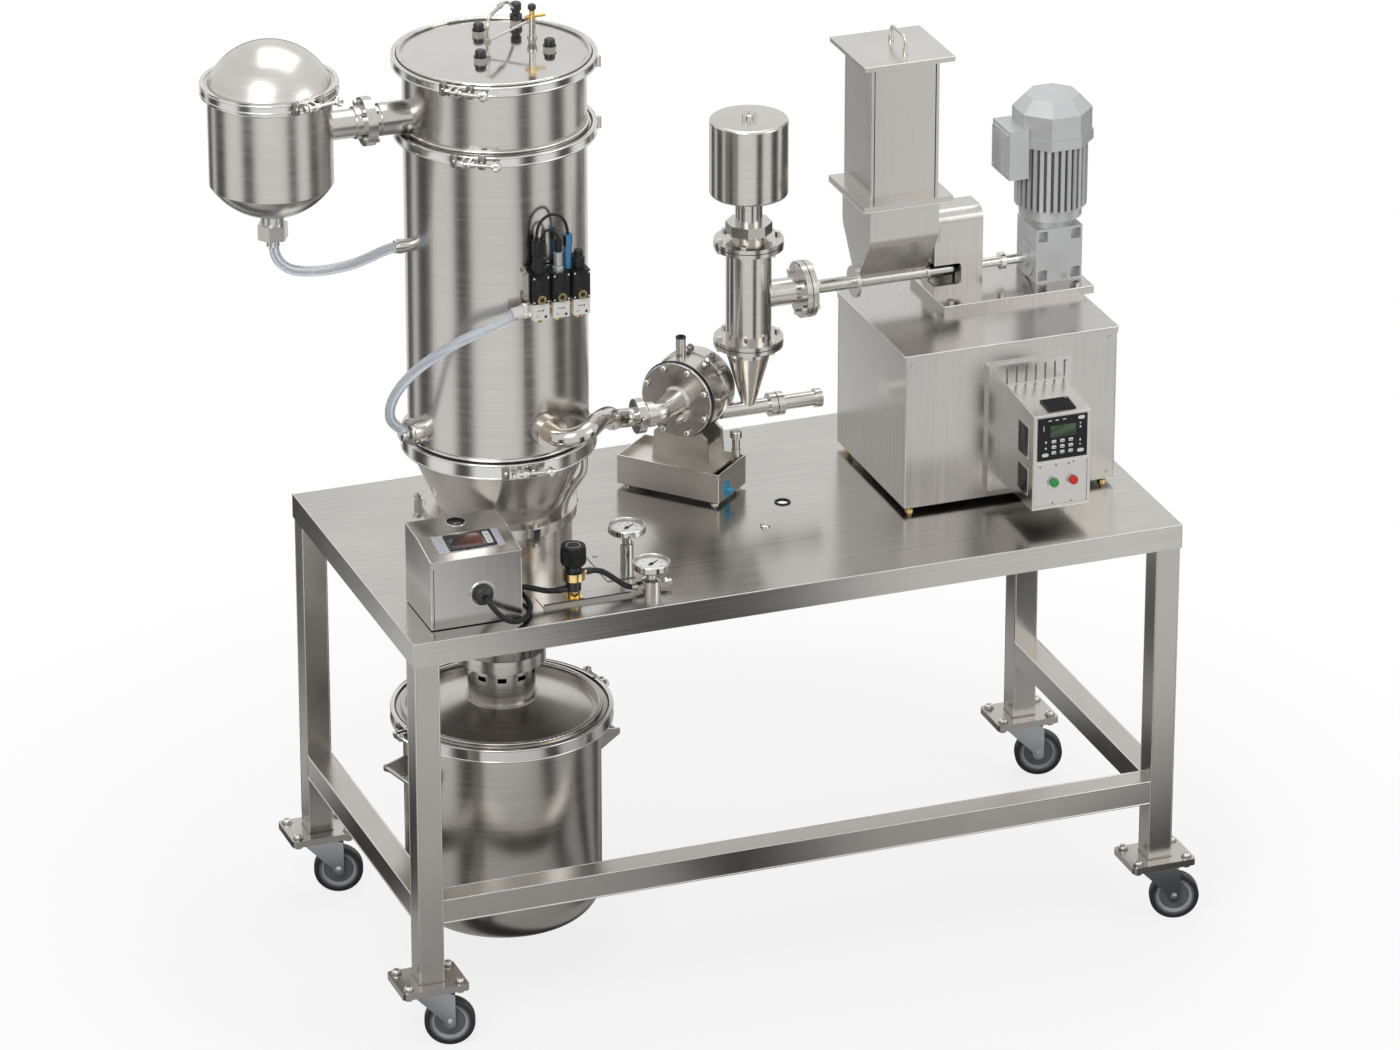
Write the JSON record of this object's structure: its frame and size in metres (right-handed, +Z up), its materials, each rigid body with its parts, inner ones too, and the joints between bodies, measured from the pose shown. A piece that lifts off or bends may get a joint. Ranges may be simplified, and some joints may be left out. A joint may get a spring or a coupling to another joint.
{
  "type": "laboratory jet mill",
  "caption": "Laboratory jet mill on a mobile steel table, with screw feeder, filter tower, separator vessel, controls and collecting bin.",
  "frame": {"origin": "centre of the bounding box's footprint at floor level, under the wheels", "axes": "+X along the table to the right, +Y from the front to the back, +Z up"},
  "size_m": [1.9474, 0.81, 2.001],
  "materials": {
    "stainless_polished": "polished warm stainless steel",
    "stainless_brushed": "brushed stainless steel",
    "zinc": "bluish zinc plating",
    "tyre": "black rubber tyre on a grey hub",
    "painted_grey": "satin grey paint",
    "black_plastic": "matt black plastic",
    "clear_hose": "clear bluish plastic hose",
    "brass": "machined brass",
    "green_plastic": "green button",
    "red_plastic": "red button",
    "screen": "black panel with a display",
    "dial": "steel case with a white dial"
  },
  "bodies": {
    "machine": {"table_top": "stainless_polished", "filter_body": "stainless_polished", "filter_head": "stainless_polished", "filter_lid": "stainless_polished", "discharge_cone": "stainless_polished", "base_collar": "stainless_polished", "separator_body": "stainless_polished", "separator_dome": "stainless_polished", "clamp_bands": "stainless_polished", "outlet_pipe": "stainless_polished", "mill_cover": "stainless_polished", "mill_drum": "stainless_polished", "mill_base": "stainless_polished", "feed_column": "stainless_polished", "column_cone": "stainless_polished", "vent_canister": "stainless_polished", "feed_hopper": "stainless_polished", "hopper_lid": "stainless_polished", "cabinet": "stainless_polished", "control_box": "stainless_polished", "bin_body": "stainless_polished", "bin_handles": "stainless_polished", "bin_lid": "stainless_polished", "controller_case": "stainless_polished", "lid_fittings": "stainless_polished", "bearing_cover": "stainless_polished", "table_frame": "stainless_brushed", "caster_plates": "stainless_brushed", "flange_bolts": "stainless_brushed", "motor": "painted_grey", "gearbox": "painted_grey", "solenoid_valves": "black_plastic", "hoses": "clear_hose", "brass_fittings": "brass", "regulator": "brass", "controller_panel": "screen", "control_display": "screen", "gauge_manifold": "dial"},
    "fork_front_left": {"fork_front_left": "zinc"},
    "wheel_front_left": {"wheel_front_left": "tyre"},
    "fork_front_right": {"fork_front_right": "zinc"},
    "wheel_front_right": {"wheel_front_right": "tyre"},
    "fork_back_left": {"fork_back_left": "zinc"},
    "wheel_back_left": {"wheel_back_left": "tyre"},
    "fork_back_right": {"fork_back_right": "zinc"},
    "wheel_back_right": {"wheel_back_right": "tyre"},
    "lid_clamp_screw": {"lid_clamp_screw": "stainless_polished"},
    "head_clamp_screw": {"head_clamp_screw": "stainless_polished"},
    "cone_clamp_screw": {"cone_clamp_screw": "stainless_polished"},
    "separator_clamp_screw": {"separator_clamp_screw": "stainless_polished"},
    "bin_clamp_screw_left": {"bin_clamp_screw_left": "stainless_polished"},
    "bin_clamp_screw_right": {"bin_clamp_screw_right": "stainless_polished"},
    "mill_lock_screw": {"mill_lock_screw": "stainless_polished"},
    "feed_screw": {"feed_screw": "stainless_polished"},
    "green_button": {"green_button": "green_plastic"},
    "red_button": {"red_button": "red_plastic"},
    "control_button": {"control_button": "black_plastic"},
    "regulator_knob": {"regulator_knob": "black_plastic"},
    "gauge_needle_front": {"gauge_needle_front": "black_plastic"},
    "gauge_needle_back": {"gauge_needle_back": "black_plastic"}
  },
  "joints": [
    {"name": "swivel_front_left", "type": "hinge", "parent": "machine", "child": "fork_front_left", "pos_m": [-0.65972, -0.352, 0.123], "axis": [0, 0, 1], "continuous": true},
    {"name": "spin_front_left", "type": "hinge", "parent": "fork_front_left", "child": "wheel_front_left", "pos_m": [-0.62068, -0.36453, 0.05], "axis": [0.3057, 0.9521, 0], "continuous": true},
    {"name": "swivel_front_right", "type": "hinge", "parent": "machine", "child": "fork_front_right", "pos_m": [0.88428, -0.352, 0.123], "axis": [0, 0, 1], "continuous": true},
    {"name": "spin_front_right", "type": "hinge", "parent": "fork_front_right", "child": "wheel_front_right", "pos_m": [0.92332, -0.36453, 0.05], "axis": [0.3057, 0.9521, 0], "continuous": true},
    {"name": "swivel_back_left", "type": "hinge", "parent": "machine", "child": "fork_back_left", "pos_m": [-0.65972, 0.352, 0.123], "axis": [0, 0, 1], "continuous": true},
    {"name": "spin_back_left", "type": "hinge", "parent": "fork_back_left", "child": "wheel_back_left", "pos_m": [-0.62068, 0.33947, 0.05], "axis": [0.3057, 0.9521, 0], "continuous": true},
    {"name": "swivel_back_right", "type": "hinge", "parent": "machine", "child": "fork_back_right", "pos_m": [0.88428, 0.352, 0.123], "axis": [0, 0, 1], "continuous": true},
    {"name": "spin_back_right", "type": "hinge", "parent": "fork_back_right", "child": "wheel_back_right", "pos_m": [0.92332, 0.33947, 0.05], "axis": [0.3057, 0.9521, 0], "continuous": true},
    {"name": "lid_clamp_screw_turn", "type": "hinge", "parent": "machine", "child": "lid_clamp_screw", "pos_m": [-0.5307, -0.20287, 1.9135], "axis": [0.766, -0.6428, 0], "continuous": true},
    {"name": "head_clamp_screw_turn", "type": "hinge", "parent": "machine", "child": "head_clamp_screw", "pos_m": [-0.51259, -0.21527, 1.7725], "axis": [0.829, -0.5592, 0], "continuous": true},
    {"name": "cone_clamp_screw_turn", "type": "hinge", "parent": "machine", "child": "cone_clamp_screw", "pos_m": [-0.42058, -0.24448, 1.1325], "axis": [0.9925, -0.1219, 0], "continuous": true},
    {"name": "separator_clamp_screw_turn", "type": "hinge", "parent": "machine", "child": "separator_clamp_screw", "pos_m": [-0.80275, -0.18138, 1.9125], "axis": [0.9613, 0.2756, 0], "continuous": true},
    {"name": "bin_clamp_screw_left_turn", "type": "hinge", "parent": "machine", "child": "bin_clamp_screw_left", "pos_m": [-0.6246, -0.09065, 0.541], "axis": [0.2079, -0.9781, 0], "continuous": true},
    {"name": "bin_clamp_screw_right_turn", "type": "hinge", "parent": "machine", "child": "bin_clamp_screw_right", "pos_m": [-0.16683, 0.00665, 0.541], "axis": [-0.2079, 0.9781, 0], "continuous": true},
    {"name": "mill_lock_turn", "type": "hinge", "parent": "machine", "child": "mill_lock_screw", "pos_m": [0.15015, 0.09646, 0.96], "axis": [0, 0, 1], "continuous": true},
    {"name": "feed_screw_spin", "type": "hinge", "parent": "machine", "child": "feed_screw", "pos_m": [0.65228, 0.128, 1.27], "axis": [1, 0, 0], "continuous": true},
    {"name": "green_button_press", "type": "slide", "parent": "machine", "child": "green_button", "axis": [0, 1, 0], "range_m": [0, 0.003], "stiffness_N_per_m": 300, "springref_m": -0.001},
    {"name": "red_button_press", "type": "slide", "parent": "machine", "child": "red_button", "axis": [0, 1, 0], "range_m": [0, 0.003], "stiffness_N_per_m": 300, "springref_m": -0.001},
    {"name": "control_button_press", "type": "slide", "parent": "machine", "child": "control_button", "axis": [0, 0, -1], "range_m": [0, 0.003], "stiffness_N_per_m": 400, "springref_m": -0.002},
    {"name": "regulator_turn", "type": "hinge", "parent": "machine", "child": "regulator_knob", "pos_m": [-0.32972, -0.285, 0.96], "axis": [0, 0, 1], "range_deg": [-720, 720]},
    {"name": "gauge_front_turn", "type": "hinge", "parent": "machine", "child": "gauge_needle_front", "pos_m": [-0.17712, -0.3052, 0.932], "axis": [0, 0, -1], "range_deg": [0, 270], "stiffness_Nm_per_rad": 0.0005},
    {"name": "gauge_back_turn", "type": "hinge", "parent": "machine", "child": "gauge_needle_back", "pos_m": [-0.18572, -0.191, 0.962], "axis": [0, 0, -1], "range_deg": [0, 270], "stiffness_Nm_per_rad": 0.0005}
  ]
}
